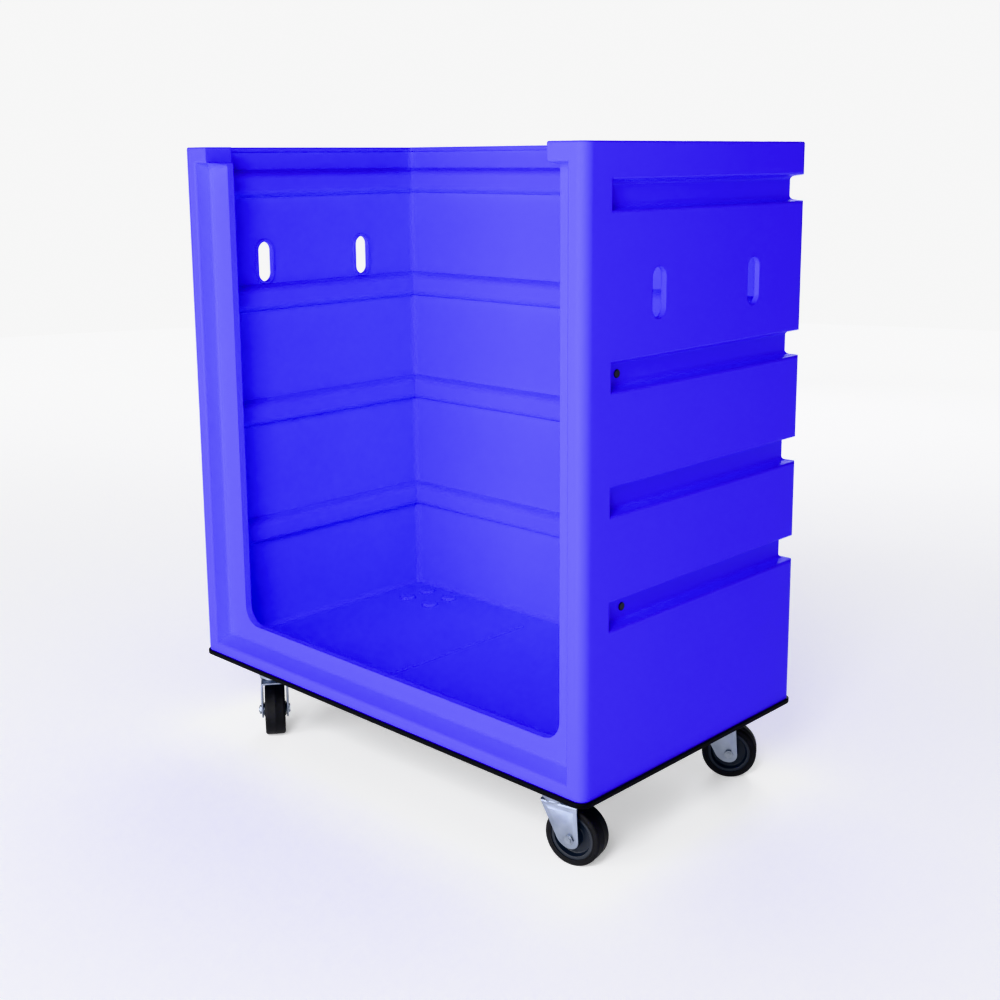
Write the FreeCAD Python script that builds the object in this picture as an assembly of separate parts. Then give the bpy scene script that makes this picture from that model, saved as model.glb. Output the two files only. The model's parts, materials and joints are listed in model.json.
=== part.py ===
import FreeCAD, Part

import math
import os

# Bulk linen truck: a rotationally moulded plastic tub, open at the front and the top, on a black
# deck board, two steel channel rails and four swivel casters.
# Millimetres. Origin on the floor under the middle of the truck; +X to the right as one faces the
# open front, +Y to the back, +Z up. L, R, F and B below are the tub's left, right, front and back.

# ---------------------------------------------------------------- driving dimensions
# Tub
body_width = 1270.0
body_depth = 745.0
body_height = 1269.0
skin = 8.0                    # moulded wall
floor_skin = 10.0             # moulded floor
corner_radius = 22.0          # upright outer corners
rim_radius = 4.0              # rounding of the top rim
floor_radius = 18.0           # inside, where walls meet the floor
rim_lip_height = 11.0         # inward lip along the top of the walls
rim_lip_width = 6.0

# Frame around the open front: an outer band, then a soft step back to a second band
band_width = 44.0             # outer band on the posts
band_height = 26.0            # outer band on the sill
step_depth = 38.0
post_step_width = 9.0         # how far the step slopes across, on the posts
sill_step_rise = 18.0         # and up, on the sill
step_top_slope = 5.0
step_lip = 7.0                # rounding of the step's edges
left_post_width = 124.0       # side face of the tub to the edge of the opening
right_post_width = 94.0
sill_height = 87.0            # foot of the tub to the edge of the opening
opening_radius = 46.0
hem_depth = 18.0              # edge of the opening turned inwards
cap_height = 37.0             # full-depth pad on top of each post
cap_width = 92.0
cap_depth = 74.0

# Stiffening grooves pressed in from outside. Heights are measured down from the rim.
groove_height = 58.0
groove_depth = 27.0
groove_slope = 12.0           # of the left and back walls
right_groove_slope = 5.0
groove_lip = 5.0
groove_root = 9.0
right_grooves = (98.0, 437.0, 678.0, 907.0)
left_and_back_grooves = (90.0, 378.0, 674.0, 987.0)
groove_front_inset = 78.0     # front end of a side groove, from the front face
back_groove_inset = 90.0      # end of a back groove, from the right face
right_groove_return = 55.0    # how far the right wall's grooves run on into the back wall

# Hand slots, two in each side wall
slot_width = 44.0
slot_height = 102.0
slot_below_rim = 287.0
slot_front_inset = 222.0
slot_spacing = 323.0
slot_collar = 5.0             # raised rim around each slot, inside
slot_collar_width = 6.0

# Floor ridge and vent plugs
ridge_offset = -135.0         # from the middle of the floor
ridge_width = 16.0
ridge_height = 2.5
ridge_end_inset = 90.0        # from the front and back faces
vent_radius = 6.0
vent_head_radius = 8.5
vent_head_height = 2.5
vent_front_insets = (126.0, 147.0)

# Deck board and channel rails
deck_thickness = 11.0
deck_overhang = 5.0
rail_height = 25.0
rail_width = 124.0
rail_wall = 4.0
rail_end_inset = 45.0

# Casters
caster_side_inset = 147.0     # swivel axis from the side face
caster_end_inset = 100.0      # and from the front or back face
wheel_diameter = 127.0
wheel_width = 50.0
tyre_thickness = 15.0
tyre_shoulder = 7.0
tyre_edge_inset = 2.0         # rim of the core stands back from the tyre's face
core_rim_thickness = 7.0
core_web_half = 11.0
core_hub_radius = 18.0
trail = 41.0                  # axle behind the swivel axis
fork_plate = 4.5
fork_side_gap = 4.0           # leg to tyre
fork_crown_gap = 6.0          # crown to tyre
fork_end_radius = 21.0
fork_crown_front = 36.0
fork_crown_back = 56.0
fork_leg_front = 29.0
lower_race_height = 5.0
upper_race_height = 14.0
race_gap = 3.5
race_radius = 36.0
ball_radius = 4.5
ball_circle = 26.0
ball_count = 14
ball_play = 0.3
cover_wall = 1.6
cover_gap = 2.0               # between the cover and the crown
plate_thickness = 5.0
plate_x = 114.0
plate_y = 102.0
plate_corner = 8.0
bolt_spacing_x = 92.0
bolt_spacing_y = 76.0
kingpin_radius = 8.0
kingpin_head_radius = 14.0
kingpin_head_height = 5.0
axle_radius = 6.0
axle_head_height = 4.5
axle_head_flats = 19.0
axle_nut_height = 6.0
axle_end = 1.5                # thread showing past the nut
sleeve_radius = 9.5
thrust_radius = 15.0
thrust_thickness = 1.5
end_play = 0.3
running_fit = 0.05            # radial clearance of turning pieces

# Caster bolts: from below through plate, rail and deck into inserts moulded into the floor,
# each under a low round boss
bolt_radius = 5.0
bolt_hole_gap = 0.5
bolt_head_flats = 17.0
bolt_head_height = 6.4
washer_radius = 10.0
washer_thickness = 1.6
insert_radius = 8.0
insert_length = 13.0
bolt_reach = 11.0             # bolt's end, above the tub's foot
boss_radius = 21.0
boss_height = 7.0
boss_rounding = 5.0

# Which way each caster trails at rest, in degrees from +X
headings = {"front_left": -36.7, "front_right": 13.0, "rear_left": 20.0, "rear_right": 32.0}

# ---------------------------------------------------------------- derived places
axle_height = wheel_diameter / 2
crown_bottom = wheel_diameter + fork_crown_gap
crown_top = crown_bottom + fork_plate
lower_race_top = crown_top + lower_race_height
upper_race_bottom = lower_race_top + race_gap
upper_race_top = upper_race_bottom + upper_race_height
plate_top = upper_race_top + plate_thickness
rail_bottom = plate_top
deck_bottom = rail_bottom + rail_height
foot = deck_bottom + deck_thickness
floor_top = foot + floor_skin
top = foot + body_height

R = body_width / 2
L = -R
B = body_depth / 2
F = -B
leg_inside = wheel_width / 2 + fork_side_gap
leg_outside = leg_inside + fork_plate

X = FreeCAD.Vector(1, 0, 0)
Y = FreeCAD.Vector(0, 1, 0)
Z = FreeCAD.Vector(0, 0, 1)


def vec(x, y, z):
    return FreeCAD.Vector(x, y, z)


# ---------------------------------------------------------------- building blocks
def block(x0, x1, y0, y1, z0, z1):
    return Part.makeBox(x1 - x0, y1 - y0, z1 - z0, vec(x0, y0, z0))


def rounded_block(x0, x1, y0, y1, z0, z1, radius):
    """A block with its four upright edges rounded."""
    box = block(x0, x1, y0, y1, z0, z1)
    uprights = [e for e in box.Edges if abs(e.Vertexes[0].Z - e.Vertexes[1].Z) > 1e-6]
    return box.makeFillet(radius, uprights)


def cylinder(radius, start, end):
    axis = end - start
    return Part.makeCylinder(radius, axis.Length, start, axis)


def tube(outer, inner, start, end):
    return cylinder(outer, start, end).cut(cylinder(inner, start, end))


def fuse(shapes):
    whole = shapes[0].multiFuse(shapes[1:]) if len(shapes) > 1 else shapes[0]
    return whole.removeSplitter()


def rounded_face(points, radii, place):
    """A flat face from (a, b) corners; each corner with a radius becomes a tangent arc.
    place turns (a, b) into a point in space."""
    count = len(points)
    path = []
    for i in range(count):
        (ax, ay), (px, py), (bx, by) = points[i - 1], points[i], points[(i + 1) % count]
        radius = radii[i]
        if radius == 0:
            path.append([(px, py)])
            continue
        ux, uy = ax - px, ay - py
        wx, wy = bx - px, by - py
        un, wn = math.hypot(ux, uy), math.hypot(wx, wy)
        ux, uy, wx, wy = ux / un, uy / un, wx / wn, wy / wn
        half = math.acos(ux * wx + uy * wy) / 2
        run = radius / math.tan(half)
        mx, my = ux + wx, uy + wy
        mn = math.hypot(mx, my)
        reach = radius / math.sin(half) - radius
        middle = (px + mx / mn * reach, py + my / mn * reach)
        path.append([(px + ux * run, py + uy * run), middle, (px + wx * run, py + wy * run)])
    edges = []
    for i in range(count):
        here, after = path[i], path[(i + 1) % count]
        if len(here) == 3:
            edges.append(Part.Arc(*[place(*p) for p in here]).toShape())
        start, end = place(*here[-1]), place(*after[0])
        if (end - start).Length > 1e-6:
            edges.append(Part.makeLine(start, end))
    return Part.Face(Part.Wire(Part.__sortEdges__(edges)))


def trough(low, high, depth, slope_low, slope_high, lip, root, place, along, length):
    """A soft-edged trough to cut from a flat wall. In its section a runs into the wall and b
    across it, from low to high; the section is then drawn out along a direction."""
    outside, margin = -10.0, 15.0
    points = [
        (outside, low - margin), (0, low - margin), (0, low), (depth, low + slope_low),
        (depth, high - slope_high), (0, high), (0, high + margin), (outside, high + margin),
    ]
    radii = [0, 0, lip, root, root, lip, 0, 0]
    return rounded_face(points, radii, place).extrude(along * length)


# ---------------------------------------------------------------- the moulded tub
def front_step(grow):
    """The step around the open front, as the solid that it removes. grow offsets it outwards by
    the wall, to shape the inside of the moulding."""
    lip = max(step_lip - grow, 1.0)
    root = step_lip + grow
    depth = step_depth + grow
    across = trough(L + band_width - grow, R - band_width + grow, depth, post_step_width,
                    post_step_width, lip, root, lambda a, b: vec(b, F + a, foot), Z, body_height)
    upward = trough(foot + band_height - grow, top - cap_height + grow, depth, sill_step_rise,
                    step_top_slope, lip, root, lambda a, b: vec(L, F + a, b), X, body_width)
    return across.common(upward)


def side_groove(below_rim, side, slope, grow):
    """A groove in a side wall, from its closed front end back through the corner. side is +1 for
    the right wall and -1 for the left."""
    middle = top - below_rim
    half = groove_height / 2 + grow
    depth = groove_depth + grow
    lip, root = max(groove_lip - grow, 1.0), groove_root + grow
    face = side * R
    start, end = F + groove_front_inset - grow, B + corner_radius
    length = trough(middle - half, middle + half, depth, slope, slope, lip, root,
                    lambda a, b: vec(face - side * a, F, b), Y, end - F)
    height = trough(start, end + depth, depth, groove_slope, 0, lip, root,
                    lambda a, b: vec(face - side * a, b, foot), Z, body_height)
    return length.common([height], 0.001)


def back_groove(below_rim, side, reach, slope, grow):
    """A groove in the back wall, from a side wall's corner to its closed end at reach from that
    side's face."""
    middle = top - below_rim
    half = groove_height / 2 + grow
    depth = groove_depth + grow
    lip, root = max(groove_lip - grow, 1.0), groove_root + grow
    start, end = -corner_radius, reach + grow
    length = trough(middle - half, middle + half, depth, slope, slope, lip, root,
                    lambda a, b: vec(side * (R - start), B - a, b), -side * X, end - start)
    width = trough(start - depth, end, depth, 0, groove_slope, lip, root,
                   lambda a, b: vec(side * (R - b), B - a, foot), Z, body_height)
    return length.common([width], 0.001)


def grooves(grow):
    """Every groove. Those of the left wall run round the corner and along the back wall; those
    of the right wall, at heights of their own, end just round the corner."""
    across = body_width - back_groove_inset
    cuts = []
    for z in left_and_back_grooves:
        cuts.append(side_groove(z, -1, groove_slope, grow))
        cuts.append(back_groove(z, -1, across, groove_slope, grow))
    for z in right_grooves:
        cuts.append(side_groove(z, 1, right_groove_slope, grow))
        cuts.append(back_groove(z, 1, right_groove_return, right_groove_slope, grow))
    return cuts


def cap_block(side, grow):
    """The pad on top of a post. grow shrinks it to the hollow inside."""
    outer, inner = side * (R - grow), side * (R - cap_width + grow)
    return block(min(outer, inner), max(outer, inner), F + grow, F + cap_depth - grow,
                 top - cap_height - 2 * grow, top - grow)


def slots(width, height, x0, x1):
    """Upright round-ended slots through a side wall between x0 and x1."""
    middle = top - slot_below_rim
    straight = height / 2 - width / 2
    cuts = []
    for i in range(2):
        y = F + slot_front_inset + i * slot_spacing
        cuts.append(block(x0, x1, y - width / 2, y + width / 2, middle - straight, middle + straight))
        for z in (middle - straight, middle + straight):
            cuts.append(cylinder(width / 2, vec(x0, y, z), vec(x1, y, z)))
    return fuse(cuts)


def opening(grow, y0, y1, z1):
    """The open front between two planes, with its two lower corners rounded."""
    left, right = L + left_post_width - grow, R - right_post_width + grow
    low = foot + sill_height - grow
    points = [(left, low), (right, low), (right, z1), (left, z1)]
    radii = [opening_radius + grow, opening_radius + grow, 0, 0]
    return rounded_face(points, radii, lambda a, b: vec(a, y0, b)).extrude(Y * (y1 - y0))


def caster_bolt_places():
    places = []
    for x, y in caster_places().values():
        for dx in (-bolt_spacing_x / 2, bolt_spacing_x / 2):
            for dy in (-bolt_spacing_y / 2, bolt_spacing_y / 2):
                places.append((x + dx, y + dy))
    return places


def floor_bosses():
    """Low round bosses on the floor, over the moulded-in inserts."""
    bosses = []
    for x, y in caster_bolt_places():
        boss = cylinder(boss_radius, vec(x, y, floor_top - 1), vec(x, y, floor_top + boss_height))
        rim = [e for e in boss.Edges if min(v.Z for v in e.Vertexes) > floor_top + 1]
        bosses.append(boss.makeFillet(boss_rounding, rim))
    return bosses


def vent_places():
    """A vent hole near the front end of the second and the fourth groove of the right wall."""
    heights = (right_grooves[1], right_grooves[3])
    return [(F + y, top - z) for y, z in zip(vent_front_insets, heights)]


def body_shell():
    outer = rounded_block(L, R, F, B, foot, top, corner_radius)
    rim = [e for e in outer.Edges if min(v.Z for v in e.Vertexes) > top - 1e-6]
    outer = outer.makeFillet(rim_radius, rim)

    inside = rounded_block(L + skin, R - skin, F + skin, B - skin, floor_top, top - rim_lip_height,
                           corner_radius - skin)
    bottom = [e for e in inside.Edges if max(v.Z for v in e.Vertexes) < floor_top + 1e-6]
    inside = inside.makeFillet(min(floor_radius, corner_radius - skin - 1.0), bottom)
    lip = skin + rim_lip_width
    mouth = rounded_block(L + lip, R - lip, F + lip, B - lip, top - rim_lip_height - 1, top + 1,
                          max(corner_radius - lip, 2.0))
    hem_back = F + step_depth + hem_depth
    hem = opening(skin, F + step_depth, hem_back, top - cap_height)
    sill = block(L, R, F, F + step_depth + skin, foot, foot + band_height)
    kept = [front_step(skin), sill, hem, cap_block(1, 0), cap_block(-1, 0)] + grooves(skin)
    inside = inside.fuse(mouth).cut(kept, 0.001)

    shell = outer.cut([inside, front_step(0)] + grooves(0), 0.001)
    shell = shell.cut([cap_block(side, skin).cut(front_step(skin)) for side in (-1, 1)])
    shell = shell.cut(opening(0, F - 1, hem_back + 1, top - cap_height))
    between_caps = block(L + cap_width, R - cap_width, F - 1, hem_back + 1, top - cap_height, top + 1)
    shell = shell.cut(between_caps)

    for side in (-1, 1):
        inner_face = side * (R - skin)
        x0, x1 = sorted((inner_face, inner_face - side * slot_collar))
        grown = 2 * slot_collar_width
        shell = shell.fuse(slots(slot_width + grown, slot_height + grown, x0, x1))
        x0, x1 = sorted((side * (R + 1), inner_face - side * (slot_collar + 1)))
        shell = shell.cut(slots(slot_width, slot_height, x0, x1))

    ridge = block(ridge_offset - ridge_width / 2, ridge_offset + ridge_width / 2,
                  F + ridge_end_inset, B - ridge_end_inset, floor_top - 1, floor_top + ridge_height)
    crest = [e for e in ridge.Edges if min(v.Z for v in e.Vertexes) > floor_top + 1]
    shell = shell.fuse([ridge.makeFillet(ridge_height * 0.8, crest)] + floor_bosses())

    holes = [cylinder(insert_radius, vec(x, y, foot - 1), vec(x, y, foot + insert_length))
             for x, y in caster_bolt_places()]
    for y, z in vent_places():
        face = R - groove_depth
        holes.append(cylinder(vent_radius, vec(face + 1, y, z), vec(face - skin - 1, y, z)))
    return shell.cut(holes).removeSplitter()


def vent_plugs():
    """Plugs pressed into the vent holes, with a domed head in the groove and a catch inside."""
    face = R - groove_depth
    plugs = []
    for y, z in vent_places():
        stem = cylinder(vent_radius, vec(face, y, z), vec(face - skin, y, z))
        head = cylinder(vent_head_radius, vec(face, y, z), vec(face + vent_head_height, y, z))
        rim = [e for e in head.Edges if min(v.X for v in e.Vertexes) > face + vent_head_height / 2]
        head = head.makeFillet(vent_head_height * 0.7, rim)
        catch = cylinder(vent_radius + 1.0, vec(face - skin, y, z), vec(face - skin - 2.0, y, z))
        plugs.append(fuse([stem, head, catch]))
    return Part.makeCompound(plugs)


# ---------------------------------------------------------------- base
def caster_places():
    x, y = R - caster_side_inset, B - caster_end_inset
    return {"front_left": (-x, -y), "front_right": (x, -y), "rear_left": (-x, y), "rear_right": (x, y)}


def base_deck():
    board = rounded_block(L - deck_overhang, R + deck_overhang, F - deck_overhang, B + deck_overhang,
                          deck_bottom, foot, corner_radius + deck_overhang)
    edges = [e for e in board.Edges if abs(e.Vertexes[0].Z - e.Vertexes[-1].Z) < 1e-6]
    board = board.makeFillet(min(2.0, deck_thickness / 4), edges)
    holes = [cylinder(bolt_radius + bolt_hole_gap, vec(x, y, deck_bottom - 1), vec(x, y, foot + 1))
             for x, y in caster_bolt_places()]
    return board.cut(holes)


def caster_rail(side):
    """A channel running front to back, open side up, with the casters bolted to its web."""
    x = side * (R - caster_side_inset)
    y0, y1 = F + rail_end_inset, B - rail_end_inset
    half = rail_width / 2
    outside = block(x - half, x + half, y0, y1, rail_bottom, deck_bottom)
    low = [e for e in outside.Edges
           if max(v.Z for v in e.Vertexes) < rail_bottom + 1e-6
           and abs(e.Vertexes[0].Y - e.Vertexes[1].Y) > 1e-6]
    outside = outside.makeFillet(rail_wall * 1.5, low)
    hollow = block(x - half + rail_wall, x + half - rail_wall, y0 - 1, y1 + 1,
                   rail_bottom + rail_wall, deck_bottom + 1)
    low = [e for e in hollow.Edges
           if max(v.Z for v in e.Vertexes) < rail_bottom + rail_wall + 1e-6
           and abs(e.Vertexes[0].Y - e.Vertexes[1].Y) > 1e-6]
    rail = outside.cut(hollow.makeFillet(rail_wall * 0.5, low))
    holes = [cylinder(bolt_radius + bolt_hole_gap, vec(hx, hy, rail_bottom - 1),
                      vec(hx, hy, rail_bottom + rail_wall + 1))
             for hx, hy in caster_bolt_places() if hx * side > 0]
    return rail.cut(holes)


def hexagon(flats, height, base):
    """A hexagonal head or nut standing on base, along +Z."""
    corner = flats / math.sqrt(3)
    points = [base + vec(corner * math.cos(math.pi / 3 * i), corner * math.sin(math.pi / 3 * i), 0)
              for i in range(7)]
    solid = Part.Face(Part.makePolygon(points)).extrude(Z * height)
    cone = Part.makeCone(flats / 2 + height + 0.2, flats / 2 - 0.3, height + 0.5, base)
    return solid.common(cone)


def floor_inserts():
    """Threaded inserts in the floor, drawn with plain holes."""
    made = []
    for x, y in caster_bolt_places():
        body = cylinder(insert_radius, vec(x, y, foot), vec(x, y, foot + insert_length))
        made.append(body.cut(cylinder(bolt_radius, vec(x, y, foot - 1), vec(x, y, foot + bolt_reach))))
    return Part.makeCompound(made)


def caster_washers():
    low = rail_bottom - plate_thickness
    return Part.makeCompound([tube(washer_radius, bolt_radius, vec(x, y, low - washer_thickness),
                                   vec(x, y, low)) for x, y in caster_bolt_places()])


def caster_bolts():
    """Hexagon bolts up into the inserts, heads down."""
    seat = rail_bottom - plate_thickness - washer_thickness
    bolts = []
    for x, y in caster_bolt_places():
        head = hexagon(bolt_head_flats, bolt_head_height, vec(0, 0, 0))
        head.rotate(vec(0, 0, 0), X, 180)
        head.translate(vec(x, y, seat))
        shank = cylinder(bolt_radius, vec(x, y, seat - bolt_head_height / 2), vec(x, y, foot + bolt_reach))
        bolts.append(fuse([shank, head]))
    return Part.makeCompound(bolts)


# ---------------------------------------------------------------- one caster, trailing along +X
def top_plate():
    """The square plate with its upper ball race."""
    low = plate_top - plate_thickness
    plate = rounded_block(-plate_x / 2, plate_x / 2, -plate_y / 2, plate_y / 2, low, plate_top,
                          plate_corner)
    race = cylinder(race_radius, vec(0, 0, upper_race_bottom), vec(0, 0, low))
    plate = fuse([plate, race])
    cuts = [cylinder(kingpin_radius, vec(0, 0, upper_race_bottom - 1), vec(0, 0, plate_top + 1)),
            ball_track(0.05)]
    for dx in (-bolt_spacing_x / 2, bolt_spacing_x / 2):
        for dy in (-bolt_spacing_y / 2, bolt_spacing_y / 2):
            cuts.append(cylinder(bolt_radius + bolt_hole_gap, vec(dx, dy, low - 1),
                                 vec(dx, dy, plate_top + 1)))
    return plate.cut(cuts)


def ball_track(play):
    height = (lower_race_top + upper_race_bottom) / 2
    return Part.makeTorus(ball_circle, ball_radius + play, vec(0, 0, height))


def balls():
    height = (lower_race_top + upper_race_bottom) / 2
    made = []
    for i in range(ball_count):
        turn = 2 * math.pi * i / ball_count
        centre = vec(ball_circle * math.cos(turn), ball_circle * math.sin(turn), height)
        made.append(Part.makeSphere(ball_radius, centre))
    return Part.makeCompound(made)


def dust_cover():
    return tube(race_radius + cover_wall, race_radius, vec(0, 0, crown_top + cover_gap),
                vec(0, 0, upper_race_top))


def kingpin():
    """The pivot, riveted flush in the plate, with its head under the crown."""
    head_top = crown_bottom - end_play
    shank = cylinder(kingpin_radius, vec(0, 0, head_top), vec(0, 0, plate_top))
    head = cylinder(kingpin_head_radius, vec(0, 0, head_top - kingpin_head_height), vec(0, 0, head_top))
    rim = [e for e in head.Edges if max(v.Z for v in e.Vertexes) < head_top - kingpin_head_height / 2]
    return fuse([shank, head.makeFillet(kingpin_head_height * 0.6, rim)])


def fork_leg(y0):
    """A leg that narrows from the crown to a round end about the axle."""
    def tangent(px, pz, side):
        dx, dz = trail - px, axle_height - pz
        far = math.hypot(dx, dz)
        angle = math.atan2(dz, dx) + side * math.asin(fork_end_radius / far)
        reach = math.sqrt(far ** 2 - fork_end_radius ** 2)
        return px + reach * math.cos(angle), pz + reach * math.sin(angle)

    front, back = -fork_leg_front, fork_crown_back
    ax, az = tangent(front, crown_bottom, -1)
    bx, bz = tangent(back, crown_bottom, 1)
    low = vec(trail, y0, axle_height - fork_end_radius)
    corners = [vec(front, y0, crown_top), vec(front, y0, crown_bottom), vec(ax, y0, az)]
    edges = [Part.makeLine(corners[0], corners[1]), Part.makeLine(corners[1], corners[2]),
             Part.Arc(corners[2], low, vec(bx, y0, bz)).toShape(),
             Part.makeLine(vec(bx, y0, bz), vec(back, y0, crown_bottom)),
             Part.makeLine(vec(back, y0, crown_bottom), vec(back, y0, crown_top)),
             Part.makeLine(vec(back, y0, crown_top), corners[0])]
    return Part.Face(Part.Wire(edges)).extrude(Y * fork_plate)


def fork():
    crown = rounded_block(0, fork_crown_back, -leg_outside, leg_outside, crown_bottom, crown_top, 3.0)
    nose = cylinder(fork_crown_front, vec(0, 0, crown_bottom), vec(0, 0, crown_top))
    pad = block(-fork_leg_front, 1.0, -leg_outside, leg_outside, crown_bottom, crown_top)
    race = cylinder(race_radius - 1.0, vec(0, 0, crown_top), vec(0, 0, lower_race_top))
    yoke = fuse([crown, nose, pad, race, fork_leg(leg_inside), fork_leg(-leg_outside)])
    bore = cylinder(kingpin_radius + running_fit, vec(0, 0, crown_bottom - 1), vec(0, 0, lower_race_top + 1))
    eyes = cylinder(axle_radius, vec(trail, -leg_outside - 1, axle_height),
                    vec(trail, leg_outside + 1, axle_height))
    return yoke.cut([bore, eyes, ball_track(ball_play)])


def on_axle(radius, y0, y1):
    return cylinder(radius, vec(trail, y0, axle_height), vec(trail, y1, axle_height))


def lay_on_axle(shape, y, side):
    """Turns a piece made about +Z so that it points along the axle from y."""
    shape = shape.copy()
    shape.rotate(vec(0, 0, 0), X, -90 * side)
    shape.translate(vec(trail, y, axle_height))
    return shape


def axle_bolt():
    head = lay_on_axle(hexagon(axle_head_flats, axle_head_height, vec(0, 0, 0)), leg_outside, 1)
    shank = on_axle(axle_radius, -leg_outside - axle_nut_height - axle_end, leg_outside)
    return fuse([head, shank])


def axle_nut():
    nut = lay_on_axle(hexagon(axle_head_flats, axle_nut_height, vec(0, 0, 0)), -leg_outside, -1)
    return nut.cut(on_axle(axle_radius, -leg_outside - axle_nut_height - 1, -leg_outside + 1))


def sleeve():
    """The spacer that the wheel turns on, clamped between the legs."""
    return on_axle(sleeve_radius, -leg_inside, leg_inside).cut(on_axle(axle_radius, -leg_inside, leg_inside))


def thrust_washers():
    made = []
    for side in (-1, 1):
        y0, y1 = side * leg_inside, side * (leg_inside - thrust_thickness)
        made.append(on_axle(thrust_radius, y0, y1).cut(on_axle(sleeve_radius, y0, y1)))
    return Part.makeCompound(made)


def turned(points, radii):
    """A ring turned about the axle from a half-section of (radius, y) points."""
    face = rounded_face(points, radii, lambda r, y: vec(trail + r, y, axle_height))
    return face.revolve(vec(trail, 0, axle_height), Y, 360)


def wheel_core():
    hub_end = leg_inside - thrust_thickness - end_play
    rim = wheel_diameter / 2 - tyre_thickness
    rim_inside = rim - core_rim_thickness
    rim_end = wheel_width / 2 - tyre_edge_inset
    bore = sleeve_radius + running_fit
    hub = core_hub_radius
    web = core_web_half
    outline = [(bore, hub_end), (hub, hub_end), (hub + 2, web), (rim_inside - 2, web),
               (rim_inside, rim_end), (rim, rim_end)]
    points = outline + [(r, -y) for r, y in reversed(outline)]
    rounding = [0, 1.5, 3.0, 3.0, 1.5, 0]
    return turned(points, rounding + rounding[::-1])


def tyre():
    outer, inner = wheel_diameter / 2, wheel_diameter / 2 - tyre_thickness
    half = wheel_width / 2
    points = [(inner, half), (outer, half), (outer, -half), (inner, -half)]
    return turned(points, [1.0, tyre_shoulder, tyre_shoulder, 1.0])


# ---------------------------------------------------------------- output
def save(name, shape):
    if not shape.isValid():
        raise ValueError(name + " is not a valid solid")
    shape.exportStep("parts/" + name + ".step")
    print(name, len(shape.Solids), "solid(s)", round(shape.Volume / 1000), "cm3")


def main():
    os.makedirs("parts", exist_ok=True)
    save("body_shell", body_shell())
    save("vent_plugs", vent_plugs())
    save("base_deck", base_deck())
    save("caster_rail_left", caster_rail(-1))
    save("caster_rail_right", caster_rail(1))
    save("floor_inserts", floor_inserts())
    save("caster_bolts", caster_bolts())
    save("caster_washers", caster_washers())
    fixed = {"top_plate": top_plate(), "ball_race": balls(), "dust_cover": dust_cover(),
             "kingpin": kingpin()}
    turning = {"fork": fork(), "axle_bolt": axle_bolt(), "axle_nut": axle_nut(), "sleeve": sleeve(),
               "thrust_washers": thrust_washers(), "wheel_core": wheel_core(), "tyre": tyre()}
    for corner, (x, y) in caster_places().items():
        for piece, shape in fixed.items():
            save(corner + "_" + piece, shape.translated(vec(x, y, 0)))
        for piece, shape in turning.items():
            headed = shape.copy()
            headed.rotate(vec(0, 0, 0), Z, headings[corner])
            headed.translate(vec(x, y, 0))
            save(corner + "_" + piece, headed)


main()
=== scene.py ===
# %% [markdown]
# # A moulded laundry cart: looks for a ready-made CAD model
#
# The cart is a blue plastic tub on a black deck board and four swivel casters. Its exact shape
# comes from the CAD model, which is loaded first and stays where it is. This lesson adds what
# CAD leaves out: the camera, the light, the finishes, and a few pieces of the casters whose
# soft pressed and moulded edges are easier to make here.

# %% Load the CAD model
import json
import math

import bpy
from mathutils import Matrix, Quaternion, Vector


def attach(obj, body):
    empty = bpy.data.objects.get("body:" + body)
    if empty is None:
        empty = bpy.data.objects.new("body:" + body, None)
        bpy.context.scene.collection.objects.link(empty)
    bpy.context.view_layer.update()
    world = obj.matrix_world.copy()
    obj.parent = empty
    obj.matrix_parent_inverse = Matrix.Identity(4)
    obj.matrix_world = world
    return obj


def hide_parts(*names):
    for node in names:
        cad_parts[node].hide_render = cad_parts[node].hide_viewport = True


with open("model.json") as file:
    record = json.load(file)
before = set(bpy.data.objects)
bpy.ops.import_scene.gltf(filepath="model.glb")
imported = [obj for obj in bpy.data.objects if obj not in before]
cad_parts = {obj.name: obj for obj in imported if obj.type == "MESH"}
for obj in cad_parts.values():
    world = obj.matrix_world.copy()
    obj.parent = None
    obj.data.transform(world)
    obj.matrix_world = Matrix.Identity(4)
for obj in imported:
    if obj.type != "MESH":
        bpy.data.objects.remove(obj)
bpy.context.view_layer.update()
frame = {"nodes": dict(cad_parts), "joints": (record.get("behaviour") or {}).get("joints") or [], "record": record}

# %% [markdown]
# ## Camera
#
# The cart is seen from its right front corner, from a standing person's eye height, with a
# normal lens. The camera is turned about its own line of sight by a hair, as a hand-held one
# is. The lens is shifted down a little, which keeps the upright edges nearly upright.

# %% Camera
CAMERA_PLACE = Vector((2.2287, -2.2537, 1.4416))
CAMERA_AZIMUTH = math.radians(-44.10)
CAMERA_PITCH = math.radians(-10.467)
CAMERA_ROLL = math.radians(-0.434)

camera = bpy.data.objects.new("camera", bpy.data.cameras.new("camera"))
bpy.context.scene.collection.objects.link(camera)
bpy.context.scene.camera = camera
camera.data.sensor_width = 36.0
camera.data.lens = 48.97
camera.data.shift_x = 0.0051
camera.data.shift_y = -0.0915
camera.data.clip_end = 200.0
line_of_sight = Vector((
    math.sin(CAMERA_AZIMUTH) * math.cos(CAMERA_PITCH),
    math.cos(CAMERA_AZIMUTH) * math.cos(CAMERA_PITCH),
    math.sin(CAMERA_PITCH),
))
aim = line_of_sight.to_track_quat("-Z", "Y") @ Quaternion((0, 0, 1), CAMERA_ROLL)
camera.location = CAMERA_PLACE
camera.rotation_euler = aim.to_euler()
print("camera at", tuple(round(v, 3) for v in camera.location), "lens", camera.data.lens, "mm")

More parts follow.
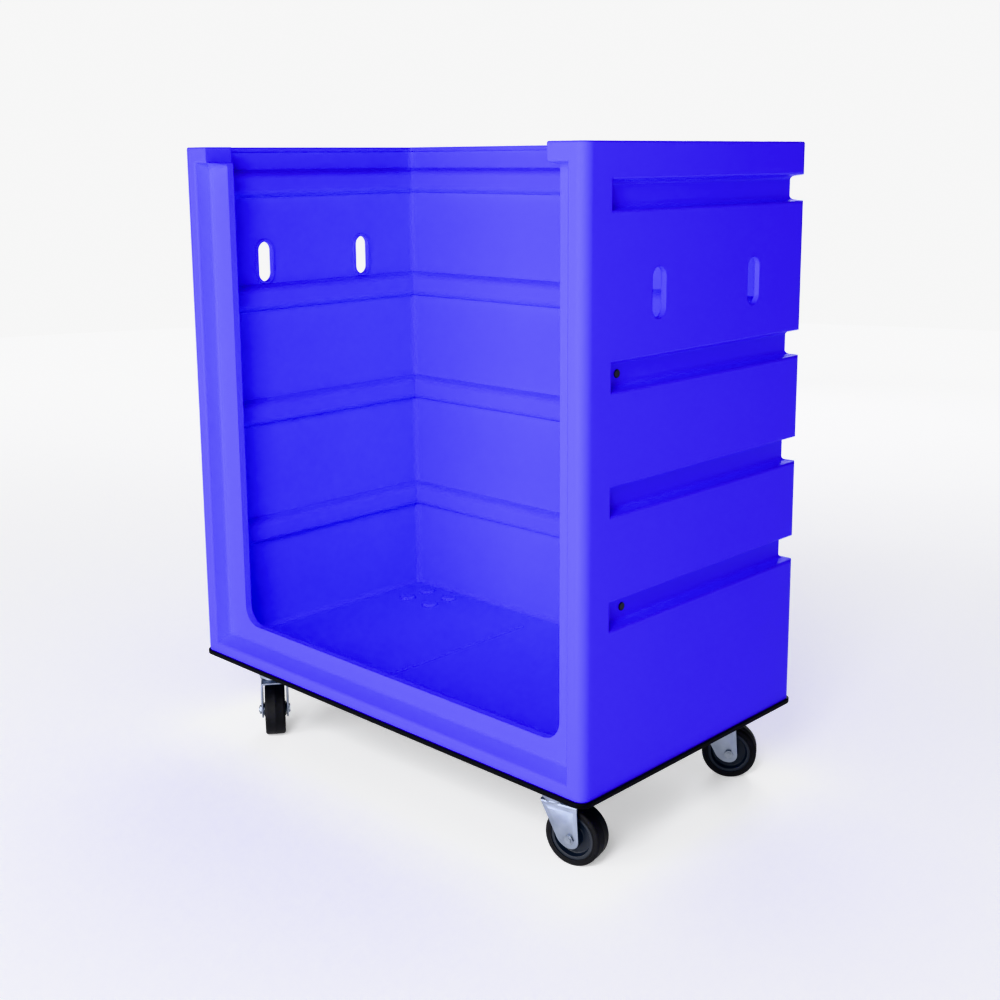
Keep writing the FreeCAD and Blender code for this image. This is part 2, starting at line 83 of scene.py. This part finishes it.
# %% [markdown]
# ## Light
#
# A dim white room lights every side of the cart a little. Six softboxes do the rest: a wide one
# and a low one before the open front, one at the near corner, a weak one at the side, a small
# one aimed into the tub and one behind. The faces turned to the front come out paler than the
# side. The room's walls look brighter to the camera than they light the cart, which gives a
# plain white backdrop. The neutral view transform keeps a strong blue blue, and lets it pale
# only where the light is strong.

# %% Light and floor
scene = bpy.context.scene
scene.view_settings.view_transform = "Khronos PBR Neutral"
scene.view_settings.look = "None"

ROOM_LIGHT = 0.22
BACKDROP_GLOW = 1.7

room = bpy.data.worlds.new("white room")
scene.world = room
room.use_nodes = True
walls = room.node_tree.nodes["Background"]
walls.inputs["Color"].default_value = (1.0, 1.0, 1.0, 1.0)
walls.inputs["Strength"].default_value = ROOM_LIGHT
backdrop = room.node_tree.nodes.new("ShaderNodeBackground")
backdrop.inputs["Strength"].default_value = BACKDROP_GLOW
seen = room.node_tree.nodes.new("ShaderNodeLightPath")
either = room.node_tree.nodes.new("ShaderNodeMixShader")
surface = room.node_tree.nodes["World Output"].inputs["Surface"]
for output, socket in ((seen.outputs["Is Camera Ray"], either.inputs["Fac"]),
                       (walls.outputs["Background"], either.inputs[1]),
                       (backdrop.outputs["Background"], either.inputs[2]),
                       (either.outputs["Shader"], surface)):
    room.node_tree.links.new(output, socket)


def softbox(name, place, target, width, height, power):
    """A rectangular area light at place that looks at target."""
    light = bpy.data.lights.new(name, "AREA")
    light.shape = "RECTANGLE"
    light.size, light.size_y = width, height
    light.energy = power
    lamp = bpy.data.objects.new(name, light)
    scene.collection.objects.link(lamp)
    lamp.location = place
    lamp.rotation_euler = (Vector(target) - Vector(place)).to_track_quat("-Z", "Y").to_euler()
    return lamp


CART_MIDDLE = (0.0, 0.0, 0.9)
softbox("front_softbox", (-0.6, -4.5, 1.6), CART_MIDDLE, 3.2, 2.4, 110.0)
softbox("corner_softbox", (2.6, -4.0, 1.9), CART_MIDDLE, 1.6, 1.6, 44.0)
softbox("side_softbox", (4.5, 0.0, 2.0), CART_MIDDLE, 3.0, 2.4, 8.0)
softbox("low_softbox", (-0.4, -3.6, 0.5), (0.0, 0.0, 0.8), 3.0, 0.9, 46.0)
softbox("inside_softbox", (1.9, -3.0, 2.6), (-0.5, 0.1, 0.8), 1.2, 1.2, 92.0)
softbox("rear_softbox", (-2.8, 4.2, 2.4), CART_MIDDLE, 3.0, 2.4, 150.0)

# %% [markdown]
# ## Helpers for modelling
#
# Each new piece starts as a primitive and is shaped in edit mode. An operator works on all that
# is selected, so everything is deselected before a piece is begun, and its faces, edges and
# points are then picked in code, by where they are.

# %% Modelling helpers
MM = 0.001


def begin(add_primitive, name, **settings):
    """Deselects everything, adds a primitive and leaves it active, in edit mode."""
    if bpy.context.object and bpy.context.object.mode != "OBJECT":
        bpy.ops.object.mode_set(mode="OBJECT")
    bpy.ops.object.select_all(action="DESELECT")
    add_primitive(**settings)
    piece = bpy.context.object
    piece.name = piece.data.name = name
    bpy.ops.object.transform_apply(location=True, rotation=True, scale=True)
    bpy.ops.object.mode_set(mode="EDIT")
    return piece


def pick(piece, kind, test):
    """Selects only the faces, edges or points whose middle passes a test, and counts them."""
    bpy.ops.mesh.select_mode(type={"faces": "FACE", "edges": "EDGE", "points": "VERT"}[kind])
    bpy.ops.mesh.select_all(action="DESELECT")
    bpy.ops.object.mode_set(mode="OBJECT")
    mesh, chosen = piece.data, 0
    if kind == "faces":
        for face in mesh.polygons:
            face.select = bool(test(face.center, face.normal))
            chosen += face.select
    elif kind == "edges":
        for edge in mesh.edges:
            a, b = (mesh.vertices[i].co for i in edge.vertices)
            edge.select = bool(test((a + b) / 2, (b - a).normalized()))
            chosen += edge.select
    else:
        for point in mesh.vertices:
            point.select = bool(test(point.co))
            chosen += point.select
    bpy.ops.object.mode_set(mode="EDIT")
    return chosen


def done(piece, smooth_angle=35.0):
    """Leaves edit mode with every face turned outwards and the soft edges shaded smooth."""
    bpy.ops.mesh.select_mode(type="FACE")
    bpy.ops.mesh.select_all(action="SELECT")
    bpy.ops.mesh.remove_doubles(threshold=0.00001)
    bpy.ops.mesh.normals_make_consistent(inside=False)
    bpy.ops.object.mode_set(mode="OBJECT")
    bpy.ops.object.shade_smooth_by_angle(angle=math.radians(smooth_angle))
    return piece


def finish_with(piece, kind, **settings):
    """Adds a modifier with its settings and applies it."""
    modifier = piece.modifiers.new(kind.lower(), kind)
    for key, value in settings.items():
        setattr(modifier, key, value)
    bpy.ops.object.modifier_apply(modifier=modifier.name)


print("helpers ready")

# %% [markdown]
# ## Where the casters are
#
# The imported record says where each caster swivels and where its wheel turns. The wheel's axle
# direction gives the heading that the caster trails in. One caster is modelled with its swivel
# axis on the origin and its wheel trailing along +X; the copies are turned and moved into place.

# %% Caster places
CORNERS = ("front_left", "front_right", "rear_left", "rear_right")
joints = {joint["name"]: joint for joint in frame["joints"]}


def caster_place(corner):
    """The matrix that takes a caster from the origin to its corner."""
    swivel = joints[corner + "_swivel"]["pos_m"]
    axle = joints[corner + "_wheel_spin"]["axis"]
    heading = math.atan2(-axis_sign(axle) * axle[0], axis_sign(axle) * axle[1])
    return Matrix.Translation((swivel[0], swivel[1], 0.0)) @ Matrix.Rotation(heading, 4, "Z")


def axis_sign(axle):
    """Axles point to the same side of every caster, whichever way the joint is written."""
    return 1.0 if axle[1] > 0 else -1.0


def place_copies(model, suffix, body_suffix, slot, *replaced):
    """Copies a caster piece to the four corners, and hides the CAD nodes each stands for."""
    for corner in CORNERS:
        piece = model.copy()
        piece.data = model.data.copy()
        piece.name = piece.data.name = corner + suffix
        scene.collection.objects.link(piece)
        piece.data.transform(caster_place(corner))
        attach(piece, corner + body_suffix)
        if replaced:
            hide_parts(*(corner + node for node in replaced))
        made_pieces.setdefault(slot, []).append(piece)
    bpy.data.objects.remove(model)


made_pieces = {}
first_swivel = Vector(joints["front_left_swivel"]["pos_m"])
first_wheel = Vector(joints["front_left_wheel_spin"]["pos_m"])
AXLE_HEIGHT = first_wheel.z
TRAIL = (first_wheel - first_swivel).to_2d().length
print("axle height", round(AXLE_HEIGHT / MM, 1), "mm, trail", round(TRAIL / MM, 1), "mm")

# %% [markdown]
# ## Tyres
#
# A truck tyre of this kind is black rubber moulded on to a hard core. Its tread is smooth, with
# rounded shoulders, a fine raised line round the middle where the halves of the mould met, and
# a shallow ring sunk into each side. A cylinder gives the tread; its ends are inset, opened and
# bridged into the bore, and the rims are bevelled into shoulders.

# %% Model one tyre
TYRE_RADIUS = AXLE_HEIGHT
TYRE_WIDTH = 50 * MM
TYRE_THICKNESS = 15 * MM
PARTING_LINE = 0.4 * MM        # how far the line stands out
PARTING_LINE_HALF = 0.9 * MM
SHOULDER = 6.5 * MM
RING_INSET = 2.2 * MM
RING_WIDTH = 0.8 * MM
RING_DEPTH = 0.7 * MM

tyre = begin(bpy.ops.mesh.primitive_cylinder_add, "tyre", vertices=96,
             radius=TYRE_RADIUS - PARTING_LINE, depth=TYRE_WIDTH)
pick(tyre, "faces", lambda middle, normal: abs(normal.z) > 0.9)
bpy.ops.mesh.inset(thickness=TYRE_THICKNESS - PARTING_LINE, use_individual=False)
bpy.ops.mesh.delete(type="ONLY_FACE")
inner = TYRE_RADIUS - TYRE_THICKNESS + 1 * MM
pick(tyre, "edges", lambda middle, along: middle.xy.length < inner)
bpy.ops.mesh.bridge_edge_loops()
pick(tyre, "edges", lambda middle, along: middle.xy.length > TYRE_RADIUS - 2 * MM
     and abs(middle.z) > TYRE_WIDTH / 2 - 0.1 * MM)
bpy.ops.mesh.bevel(offset=SHOULDER, segments=6, profile=0.5)
print("tyre points after the shoulders:", len(tyre.data.vertices))

# %% Parting line and side rings
for side in (-1, 1):
    bpy.ops.mesh.select_all(action="SELECT")
    bpy.ops.mesh.bisect(plane_co=(0, 0, side * PARTING_LINE_HALF), plane_no=(0, 0, 1))
pick(tyre, "edges", lambda middle, along: abs(middle.z) < 1.0 * MM and abs(along.z) < 0.5
     and middle.xy.length > TYRE_RADIUS - 2 * MM)
crest = TYRE_RADIUS / (TYRE_RADIUS - PARTING_LINE)
bpy.ops.mesh.bevel(offset=0.4 * MM, segments=1)
pick(tyre, "points", lambda point: abs(point.z) < 0.8 * MM
     and point.xy.length > TYRE_RADIUS - 2 * MM)
bpy.ops.transform.resize(value=(crest, crest, 1))
pick(tyre, "faces", lambda middle, normal: abs(normal.z) > 0.98
     and abs(middle.z) > TYRE_WIDTH / 2 - 0.1 * MM)
bpy.ops.mesh.inset(thickness=RING_INSET, depth=0, use_individual=False)
bpy.ops.mesh.inset(thickness=RING_WIDTH, depth=-RING_DEPTH, use_individual=False)
tyre = done(tyre)
print("tyre size in mm:", [round(v / MM, 1) for v in tyre.dimensions])

# %% Put the tyres on their wheels
tyre.data.transform(Matrix.Translation((TRAIL, 0, AXLE_HEIGHT)) @ Matrix.Rotation(math.pi / 2, 4, "X"))
place_copies(tyre, "_moulded_tyre", "_wheel", "tyre_rubber", "_tyre")
print("tyres:", [p.name for p in made_pieces["tyre_rubber"]])

# %% [markdown]
# ## Forks
#
# A caster fork is pressed from one sheet of steel: a flat crown, two legs folded down from it,
# and round ends where the axle goes through. The sheet is made first, as a cube with only its
# top and sides left. The legs are narrowed to the axle and their ends rounded, the two folds
# are bevelled, and a modifier gives the sheet its thickness. A raised panel pressed into each
# leg stiffens it and catches the light.

# %% Fork sizes
SHEET = 4.5 * MM
CROWN_TOP = 2 * AXLE_HEIGHT + 10.5 * MM
LEG_OUTSIDE = 33.5 * MM
LEG_FRONT = -29 * MM
LEG_BACK = 56 * MM
LEG_END = 21 * MM
FOLD = 6 * MM
PANEL_INSET = 8 * MM
PANEL_SLOPE = 2 * MM
PANEL_RISE = 1.2 * MM
print("fork stands", round(CROWN_TOP / MM, 1), "mm high and is", round(2 * LEG_OUTSIDE / MM), "mm wide")

# %% Fold and trim the sheet
low = AXLE_HEIGHT - LEG_END
fork = begin(bpy.ops.mesh.primitive_cube_add, "fork", size=1,
             location=((LEG_FRONT + LEG_BACK) / 2, 0, (low + CROWN_TOP) / 2),
             scale=(LEG_BACK - LEG_FRONT, 2 * LEG_OUTSIDE, CROWN_TOP - low))
pick(fork, "faces", lambda middle, normal: abs(normal.x) > 0.5 or normal.z < -0.5)
bpy.ops.mesh.delete(type="FACE")
for end, x in ((LEG_FRONT, TRAIL - LEG_END), (LEG_BACK, TRAIL + LEG_END)):
    pick(fork, "points", lambda point: point.z < low + MM and abs(point.x - end) < MM)
    bpy.ops.transform.translate(value=(x - end, 0, 0))
pick(fork, "points", lambda point: point.z < low + MM)
bpy.ops.mesh.bevel(offset=LEG_END * 0.95, segments=10, affect="VERTICES", clamp_overlap=True)
pick(fork, "edges", lambda middle, along: middle.z > CROWN_TOP - MM and abs(along.x) > 0.9)
bpy.ops.mesh.bevel(offset=FOLD, segments=5)
print("faces in the folded sheet:", len(fork.data.polygons))

# %% Press a panel into each leg, and thicken the sheet
pick(fork, "faces", lambda middle, normal: abs(normal.y) > 0.99)
bpy.ops.mesh.inset(thickness=PANEL_INSET, depth=0, use_individual=True)
bpy.ops.mesh.inset(thickness=PANEL_SLOPE, depth=PANEL_RISE, use_individual=True)
bpy.ops.mesh.select_all(action="SELECT")
bpy.ops.mesh.normals_make_consistent(inside=False)
bpy.ops.object.mode_set(mode="OBJECT")
outward = sum(face.normal.z for face in fork.data.polygons if face.center.z > CROWN_TOP - MM)
finish_with(fork, "SOLIDIFY", thickness=SHEET, offset=-1.0 if outward > 0 else 1.0)
finish_with(fork, "BEVEL", width=0.6 * MM, segments=2, limit_method="ANGLE",
            angle_limit=math.radians(50))
bpy.ops.object.mode_set(mode="EDIT")
fork = done(fork)
print("fork size in mm:", [round(v / MM, 1) for v in fork.dimensions])

# %% Round nose and lower ball race
NOSE_RADIUS = 36 * MM
RACE_RADIUS = 35 * MM
RACE_TOP = CROWN_TOP + 5 * MM
nose = begin(bpy.ops.mesh.primitive_cylinder_add, "nose", vertices=96, radius=NOSE_RADIUS,
             depth=SHEET - 0.2 * MM, location=(0, 0, CROWN_TOP - SHEET / 2))
pick(nose, "faces", lambda middle, normal: normal.z > 0.9)
bpy.ops.mesh.inset(thickness=NOSE_RADIUS - RACE_RADIUS)
bpy.ops.mesh.extrude_region_move(TRANSFORM_OT_translate={"value": (0, 0, RACE_TOP - CROWN_TOP)})
pick(nose, "edges", lambda middle, along: abs(along.z) < 0.1 and middle.xy.length > RACE_RADIUS - MM)
bpy.ops.mesh.bevel(offset=0.6 * MM, segments=2)
nose = done(nose)
bpy.ops.object.select_all(action="DESELECT")
nose.select_set(True)
fork.select_set(True)
bpy.context.view_layer.objects.active = fork
bpy.ops.object.join()
place_copies(fork, "_pressed_fork", "_fork", "zinc_steel", "_fork")
print("forks:", [p.name for p in made_pieces["zinc_steel"]])

# %% [markdown]
# ## Finishes
#
# Every finish is a node material. One function turns the hex colours that people write into
# the linear values that the renderer wants, and one adds a node with its settings and links.
# Patterns read object coordinates in metres, so a scale of 1 / size makes features of that size.

# %% Material helpers


def linear(code):
    """A hex sRGB colour as linear RGBA."""
    parts = [int(code[i:i + 2], 16) / 255 for i in (1, 3, 5)]
    return tuple(c / 12.92 if c <= 0.04045 else ((c + 0.055) / 1.055) ** 2.4 for c in parts) + (1.0,)


def add(tree, kind, values=None, links=None, **properties):
    """Adds one node, sets its properties and its sockets' values, and links its inputs."""
    made = tree.nodes.new(kind)
    for key, value in properties.items():
        setattr(made, key, value)
    for socket, value in (values or {}).items():
        made.inputs[socket].default_value = value
    for socket, output in (links or {}).items():
        tree.links.new(output, made.inputs[socket])
    return made


def new_finish(name, **shader_values):
    """An empty material: its node tree, its shader and the object coordinates."""
    finish = bpy.data.materials.new(name)
    finish.use_nodes = True
    tree = finish.node_tree
    shader = tree.nodes["Principled BSDF"]
    for socket, value in shader_values.items():
        shader.inputs[socket.replace("_", " ")].default_value = value
    place = add(tree, "ShaderNodeTexCoord").outputs["Object"]
    return finish, tree, shader, place


def noise(tree, place, size, detail=2.0, **more):
    """Noise with features of a size in metres."""
    values = {"Scale": 1 / size, "Detail": detail, **more}
    return add(tree, "ShaderNodeTexNoise", values, {"Vector": place}).outputs["Fac"]


def between(tree, factor, dark, light):
    """A colour that goes from dark to light with a factor."""
    mix = add(tree, "ShaderNodeMix", {6: linear(dark), 7: linear(light)}, {0: factor}, data_type="RGBA")
    return mix.outputs[2]


def spread(tree, value, low, high, **more):
    """A value from 0 to 1, stretched to run from low to high."""
    limits = {"To Min": low, "To Max": high, **more}
    return add(tree, "ShaderNodeMapRange", limits, {"Value": value}).outputs["Result"]


def bump(tree, height, strength, distance, **normal):
    """A normal tilted by a height, distance being how far the surface seems to rise."""
    values = {"Strength": strength, "Distance": distance}
    return add(tree, "ShaderNodeBump", values, {"Height": height, **normal}).outputs["Normal"]


finishes = {}
print("a strong blue in linear values:", [round(v, 3) for v in linear("#2d0ff2")])

# %% [markdown]
# ## The tub's polyethylene
#
# The tub is rotationally moulded from polyethylene powder, coloured right through. The powder
# melts against the mould, so the skin is satin and never glossy, with a fine orange peel of
# about 4 mm, and the cooling walls pull into long shallow waves. All the edges are a little
# round: a bevel node turns the normals over the last 3 mm of each edge. The colour drifts by a
# few percent where the powder lay thicker. The floor of the tub carries fine scuffs from loads.

# %% Polyethylene
finish, tree, shader, place = new_finish("rotomoulded_polyethylene", IOR=1.51,
                                         Specular_IOR_Level=0.22)
PEEL_SIZE = 4.5 * MM
WAVE_SIZE = 160 * MM
DRIFT_SIZE = 350 * MM
drift = noise(tree, place, DRIFT_SIZE, 3.0)
grain = noise(tree, place, PEEL_SIZE)
waves = noise(tree, place, WAVE_SIZE, 1.0)
tint = between(tree, drift, "#2a0cf0", "#3012f4")
print("peel, waves and drift in mm:", [round(v / MM, 1) for v in (PEEL_SIZE, WAVE_SIZE, DRIFT_SIZE)])

# %% Scuffs on the tub's floor
SCUFFS_FULL = 220 * MM
SCUFFS_END = 260 * MM
long_way = add(tree, "ShaderNodeMapping", {"Scale": (3.0, 160.0, 1.0), "Rotation": (0, 0, 1.3)},
               {"Vector": place})
scratch = add(tree, "ShaderNodeTexNoise", {"Scale": 1.0, "Detail": 4.0, "Roughness": 0.7},
              {"Vector": long_way.outputs["Vector"]})
fine = spread(tree, scratch.outputs["Fac"], 0.0, 1.0, **{"From Min": 0.60, "From Max": 0.72})
height = add(tree, "ShaderNodeSeparateXYZ", {}, {"Vector": place}).outputs["Z"]
near_floor = spread(tree, height, 0.0, 0.16, **{"From Min": SCUFFS_END, "From Max": SCUFFS_FULL})
scuffed = add(tree, "ShaderNodeMath", {}, {0: fine, 1: near_floor}, operation="MULTIPLY")
colour = add(tree, "ShaderNodeMix", {7: linear("#5a4cf2")},
             {0: scuffed.outputs["Value"], 6: tint}, data_type="RGBA")
tree.links.new(colour.outputs[2], shader.inputs["Base Color"])
tree.links.new(spread(tree, grain, 0.42, 0.56), shader.inputs["Roughness"])
print("scuffs fade out above", round(SCUFFS_END / MM), "mm")

# %% Soft edges, waves and orange peel
edge = add(tree, "ShaderNodeBevel", {"Radius": 3 * MM}, samples=4)
slow = bump(tree, waves, 0.35, 1.6 * MM, Normal=edge.outputs["Normal"])
peel = bump(tree, grain, 0.16, 0.25 * MM, Normal=slow)
tree.links.new(peel, shader.inputs["Normal"])
finishes["blue_moulding"] = finish
print("made", finish.name)

# %% [markdown]
# ## Vent plugs and wheel cores
#
# The vent plugs are moulded from the same plastic in near black. The wheel cores are nylon
# filled with glass fibre: a dark blue-grey that scatters light, with faint flow marks.

# %% Dark plastics
finish, tree, shader, place = new_finish("black_polyethylene", IOR=1.51, Roughness=0.45)
mottle = noise(tree, place, 3 * MM)
tree.links.new(between(tree, mottle, "#0c0c12", "#16161e"), shader.inputs["Base Color"])
finishes["black_plug"] = finish

finish, tree, shader, place = new_finish("glass_filled_nylon", IOR=1.53)
flow = noise(tree, place, 12 * MM, 4.0, Distortion=0.8)
fibre = noise(tree, place, 1.2 * MM)
tree.links.new(between(tree, flow, "#161a22", "#232833"), shader.inputs["Base Color"])
tree.links.new(spread(tree, flow, 0.45, 0.62), shader.inputs["Roughness"])
tree.links.new(bump(tree, fibre, 0.2, 0.1 * MM), shader.inputs["Normal"])
finishes["core_plastic"] = finish
print("made", [finishes[k].name for k in ("black_plug", "core_plastic")])

# %% [markdown]
# ## Rubber
#
# The tyres are solid black rubber. It is almost free of gloss, a little dusty, and its skin
# shows fine pits from the mould and small rubbed patches.

# %% Rubber
finish, tree, shader, place = new_finish("solid_black_rubber", IOR=1.52, Specular_IOR_Level=0.35)
dust = noise(tree, place, 20 * MM, 5.0, Roughness=0.6)
pits = noise(tree, place, 1.5 * MM)
patches = spread(tree, dust, 0.0, 1.0, **{"From Min": 0.45, "From Max": 0.75})
tree.links.new(between(tree, patches, "#0a0a0d", "#1d1d22"), shader.inputs["Base Color"])
tree.links.new(spread(tree, dust, 0.55, 0.82), shader.inputs["Roughness"])
tree.links.new(bump(tree, pits, 0.25, 0.12 * MM), shader.inputs["Normal"])
finishes["tyre_rubber"] = finish
print("made", finish.name)

# %% [markdown]
# ## Deck board and rails
#
# The deck is birch plywood under two coats of black paint. The veneer's grain, about 6 mm
# apart and running across the cart, still shows as low ridges. The rails have a black powder
# coat, which is finer and more even than paint.

# %% Painted plywood and powder coat
finish, tree, shader, place = new_finish("black_painted_plywood", IOR=1.5, Specular_IOR_Level=0.15)
along_grain = add(tree, "ShaderNodeMapping", {"Scale": (6.0, 1 / 0.006, 1 / 0.003)}, {"Vector": place})
veneer = noise(tree, along_grain.outputs["Vector"], 1.0, 4.0)
tree.links.new(between(tree, veneer, "#020202", "#050505"), shader.inputs["Base Color"])
tree.links.new(spread(tree, veneer, 0.45, 0.65), shader.inputs["Roughness"])
tree.links.new(bump(tree, veneer, 0.3, 0.2 * MM), shader.inputs["Normal"])
finishes["black_board"] = finish

finish, tree, shader, place = new_finish("black_powder_coat", IOR=1.5, Roughness=0.5,
                                         Specular_IOR_Level=0.2)
pebble = noise(tree, place, 1.5 * MM)
tree.links.new(between(tree, pebble, "#08080a", "#101013"), shader.inputs["Base Color"])
tree.links.new(bump(tree, pebble, 0.3, 0.1 * MM), shader.inputs["Normal"])
finishes["black_steel"] = finish
print("made", [finishes[k].name for k in ("black_board", "black_steel")])

# %% [markdown]
# ## Zinc-plated steel
#
# Forks, plates and covers are mild steel, pressed and then bright zinc plated with a blue
# passivation. It mirrors softly. Rolling marks run through it, and the plating clouds it in
# patches of a few centimetres. Bolts have the same plating, duller and closer-grained.

# %% Plated steel
for slot, tone_a, tone_b, cloud_size, low_roughness, high_roughness in (
        ("zinc_steel", "#7c8496", "#a5adbd", 30 * MM, 0.28, 0.46),
        ("bolt_steel", "#787f8c", "#a0a7b3", 8 * MM, 0.32, 0.50),
        ("ball_steel", "#c4c6c9", "#d6d8da", 4 * MM, 0.08, 0.16)):
    finish, tree, shader, place = new_finish(slot.replace("steel", "plated_steel"), Metallic=1.0)
    cloud = noise(tree, place, cloud_size, 4.0)
    rolled = add(tree, "ShaderNodeMapping", {"Scale": (40.0, 40.0, 1 / 0.0008)}, {"Vector": place})
    marks = noise(tree, rolled.outputs["Vector"], 1.0)
    tree.links.new(between(tree, cloud, tone_a, tone_b), shader.inputs["Base Color"])
    tree.links.new(spread(tree, cloud, low_roughness, high_roughness), shader.inputs["Roughness"])
    tree.links.new(bump(tree, marks, 0.12, 0.05 * MM), shader.inputs["Normal"])
    finishes[slot] = finish
print("made", sorted(finishes))

# %% [markdown]
# ## Give each piece its finish
#
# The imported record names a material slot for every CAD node. The node keeps its mesh and gets
# the finish of its slot, and so do the new pieces.

# %% Assign the finishes
for subpart in frame["record"]["subparts"]:
    mesh = frame["nodes"][subpart["node"]].data
    mesh.materials.clear()
    mesh.materials.append(finishes[subpart["material_slot"]])
for slot, pieces in made_pieces.items():
    for piece in pieces:
        piece.data.materials.clear()
        piece.data.materials.append(finishes[slot])
print("finishes on", len(frame["nodes"]), "CAD nodes and", sum(map(len, made_pieces.values())),
      "new pieces")

# %% [markdown]
# ## Floor
#
# The cart stands on a plain white studio floor: a large matt disc, painted, with the faintest
# roller texture, so that the wheels get a soft shadow and nothing else draws the eye. The disc
# glows a little under the cart and more towards its rim, where it runs into the backdrop.

# %% Studio floor
FLOOR_RADIUS = 9.0
GLOW_STARTS = 1.8
GLOW_UNDER_CART = 0.35
GLOW_AT_RIM = 1.35
floor = begin(bpy.ops.mesh.primitive_circle_add, "studio_floor", vertices=128, radius=FLOOR_RADIUS,
              fill_type="NGON")
floor = done(floor)
finish, tree, shader, place = new_finish("matt_white_floor_paint", Roughness=0.9,
                                         Specular_IOR_Level=0.1)
shader.inputs["Emission Color"].default_value = linear("#ffffff")
outwards = add(tree, "ShaderNodeVectorMath", {}, {0: place}, operation="LENGTH")
glow = add(tree, "ShaderNodeMapRange", {"From Min": GLOW_STARTS, "From Max": 0.8 * FLOOR_RADIUS,
                                        "To Min": GLOW_UNDER_CART, "To Max": GLOW_AT_RIM},
           {"Value": outwards.outputs["Value"]}, interpolation_type="SMOOTHSTEP")
tree.links.new(glow.outputs["Result"], shader.inputs["Emission Strength"])
roller = noise(tree, place, 10 * MM)
tree.links.new(between(tree, roller, "#f4f4f6", "#f9f9fb"), shader.inputs["Base Color"])
floor.data.materials.append(finish)
print("floor normal", tuple(round(v) for v in floor.data.polygons[0].normal))
